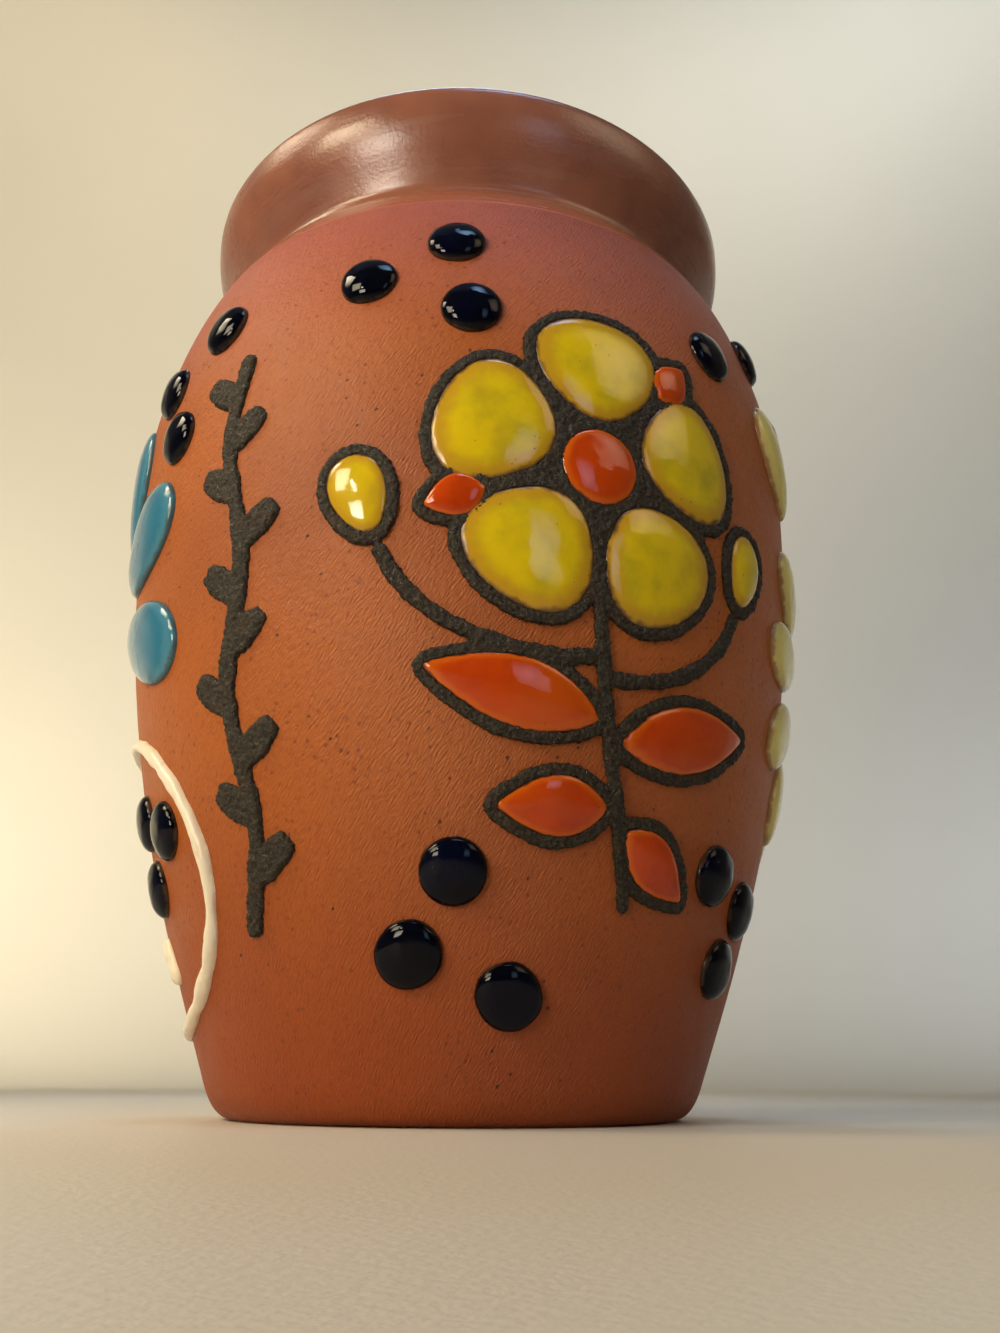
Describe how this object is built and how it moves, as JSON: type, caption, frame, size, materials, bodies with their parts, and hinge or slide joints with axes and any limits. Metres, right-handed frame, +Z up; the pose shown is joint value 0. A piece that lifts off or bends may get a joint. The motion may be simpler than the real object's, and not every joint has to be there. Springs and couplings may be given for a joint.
{
  "type": "terracotta vase",
  "caption": "Terracotta vase with a flared, glazed collar and raised glaze decoration of a flower spray, dots and lobes; holds flowers or stands as an ornament.",
  "frame": {"origin": "middle of the flat base, on the surface that the vase stands on", "axes": "+Z up along the turned axis, -Y towards the main picture, +X to the right of someone who faces the main picture"},
  "size_m": [0.1765, 0.178, 0.24],
  "materials": {
    "clay": "bare fired terracotta, matt and finely pitted",
    "collar": "clear brown gloss glaze over clay",
    "black_slip": "matt black slip, grainy",
    "yellow": "thick glossy yellow glaze",
    "orange": "thick glossy orange glaze",
    "cobalt": "near-black cobalt gloss glaze",
    "blue_green": "thick glossy blue-green glaze",
    "pale_yellow": "soft glossy pale yellow glaze",
    "white": "creamy white gloss slip line"
  },
  "bodies": {
    "root": {"vase_body": "clay", "collar_glaze": "collar", "spray_outline": "black_slip", "spray_heart": "orange", "spray_petal_1": "yellow", "spray_petal_2": "yellow", "spray_petal_3": "yellow", "spray_petal_4": "yellow", "spray_petal_5": "yellow", "spray_leaf_1": "orange", "spray_leaf_2": "orange", "spray_leaf_3": "orange", "spray_leaf_4": "orange", "spray_leaf_5": "orange", "spray_leaf_6": "orange", "spray_bud_1": "yellow", "spray_bud_2": "yellow", "vine_ornament": "black_slip", "dot_top_1": "cobalt", "dot_top_2": "cobalt", "dot_top_3": "cobalt", "dot_top_left_1": "cobalt", "dot_top_left_2": "cobalt", "dot_top_left_3": "cobalt", "dot_top_right_1": "cobalt", "dot_top_right_2": "cobalt", "dot_top_right_3": "cobalt", "dot_foot_1": "cobalt", "dot_foot_2": "cobalt", "dot_foot_3": "cobalt", "dot_foot_right_1": "cobalt", "dot_foot_right_2": "cobalt", "dot_foot_right_3": "cobalt", "dot_foot_left_1": "cobalt", "dot_foot_left_2": "cobalt", "dot_foot_left_3": "cobalt", "dot_back_1": "cobalt", "dot_back_2": "cobalt", "dot_back_3": "cobalt", "blue_lobe_1": "blue_green", "blue_lobe_2": "blue_green", "blue_lobe_3": "blue_green", "blue_lobe_4": "blue_green", "blue_lobe_5": "blue_green", "white_loop": "white", "white_stroke": "white", "yellow_lobe_1": "pale_yellow", "yellow_lobe_2": "pale_yellow", "yellow_lobe_3": "pale_yellow", "yellow_lobe_4": "pale_yellow", "yellow_lobe_5": "pale_yellow", "yellow_lobe_6": "pale_yellow", "back_outline": "black_slip", "back_heart": "yellow", "back_petal_1": "orange", "back_petal_2": "orange", "back_petal_3": "orange", "back_petal_4": "orange", "back_petal_5": "orange"}
  },
  "joints": []
}
